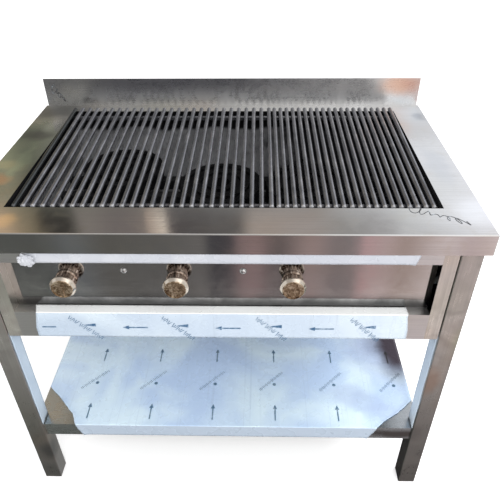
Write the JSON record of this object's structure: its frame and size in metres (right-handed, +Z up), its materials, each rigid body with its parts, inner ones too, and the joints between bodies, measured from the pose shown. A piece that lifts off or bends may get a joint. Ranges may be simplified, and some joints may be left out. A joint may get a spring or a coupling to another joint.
{
  "type": "charbroiler grill",
  "caption": "Freestanding gas charbroiler: stainless deck with round-bar cooking grates, low backsplash, recessed control panel with knobs, and a stand with an undershelf.",
  "frame": {"origin": "on the floor, under the middle of the bounding box", "axes": "+X is the cook's right, +Y runs from the cook's side to the backsplash, +Z is up"},
  "size_m": [1.2, 0.7502, 1.027],
  "materials": {
    "deck_steel": "bright, lightly smudged stainless sheet",
    "frame_steel": "satin stainless square tube",
    "panel_steel": "bright stainless sheet, grain along X",
    "shelf_steel": "bright stainless sheet",
    "tray_steel": "satin stainless sheet",
    "firebox_steel": "dull mill-finish steel",
    "grate_iron": "dark drawn steel bar with a dull sheen",
    "burner_iron": "rough black casting",
    "knob_metal": "polished antique brass",
    "valve_brass": "machined brass",
    "pipe_steel": "zinc-plated steel",
    "pipe_aluminium": "drawn tube",
    "screw_steel": "polished",
    "protective_film": "thin pale peel-off film"
  },
  "bodies": {
    "stand": {"top_deck": "deck_steel", "backsplash": "deck_steel", "leg_front_left": "frame_steel", "leg_front_right": "frame_steel", "leg_rear_left": "frame_steel", "leg_rear_right": "frame_steel", "leg_base_plates": "frame_steel", "frame_rail_left": "frame_steel", "frame_rail_right": "frame_steel", "frame_rail_rear": "frame_steel", "upper_front_rail": "panel_steel", "lower_front_rail": "panel_steel", "control_panel": "panel_steel", "front_strip_left": "panel_steel", "front_strip_right": "panel_steel", "side_panel_left": "panel_steel", "side_panel_right": "panel_steel", "rear_panel": "panel_steel", "undershelf": "shelf_steel", "shelf_stiffener": "shelf_steel", "tray_runner_left": "tray_steel", "tray_runner_right": "tray_steel", "firebox_front_wall": "firebox_steel", "firebox_rear_wall": "firebox_steel", "firebox_left_wall": "firebox_steel", "firebox_right_wall": "firebox_steel", "grate_support_front": "firebox_steel", "grate_support_rear": "firebox_steel", "grate_support_left": "firebox_steel", "grate_support_right": "firebox_steel", "burner_bar_front": "firebox_steel", "burner_bar_rear": "firebox_steel", "burner_left": "burner_iron", "burner_centre": "burner_iron", "burner_right": "burner_iron", "valve_left": "valve_brass", "valve_centre": "valve_brass", "valve_right": "valve_brass", "gas_jets": "valve_brass", "manifold_cap": "valve_brass", "gas_inlet": "valve_brass", "gas_manifold": "pipe_steel", "manifold_brackets": "pipe_steel", "manifold_u_bolts": "pipe_steel", "u_bolt_nuts": "pipe_steel", "panel_screw_nuts": "pipe_steel", "air_shutters": "pipe_steel", "supply_pipe_left": "pipe_aluminium", "supply_pipe_centre": "pipe_aluminium", "supply_pipe_right": "pipe_aluminium", "panel_screws": "screw_steel"},
    "grate_left": {"grate_left": "grate_iron"},
    "grate_right": {"grate_right": "grate_iron"},
    "grease_tray": {"grease_tray": "tray_steel"},
    "knob_left": {"knob_left": "knob_metal", "valve_stem_left": "pipe_steel"},
    "knob_centre": {"knob_centre": "knob_metal", "valve_stem_centre": "pipe_steel"},
    "knob_right": {"knob_right": "knob_metal", "valve_stem_right": "pipe_steel"}
  },
  "joints": [
    {"name": "knob_left_turn", "type": "hinge", "parent": "stand", "child": "knob_left", "pos_m": [-0.359, -0.3431, 0.793], "axis": [0, -1, 0], "range_deg": [0, 180]},
    {"name": "knob_centre_turn", "type": "hinge", "parent": "stand", "child": "knob_centre", "pos_m": [-0.099, -0.3431, 0.793], "axis": [0, -1, 0], "range_deg": [0, 180]},
    {"name": "knob_right_turn", "type": "hinge", "parent": "stand", "child": "knob_right", "pos_m": [0.17, -0.3431, 0.793], "axis": [0, -1, 0], "range_deg": [0, 180]},
    {"name": "grate_left_lift", "type": "slide", "parent": "stand", "child": "grate_left", "axis": [0, 0, 1], "range_m": [0, 0.15]},
    {"name": "grate_right_lift", "type": "slide", "parent": "stand", "child": "grate_right", "axis": [0, 0, 1], "range_m": [0, 0.15]},
    {"name": "grease_tray_slide", "type": "slide", "parent": "stand", "child": "grease_tray", "axis": [0, -1, 0], "range_m": [0, 0.45]}
  ]
}
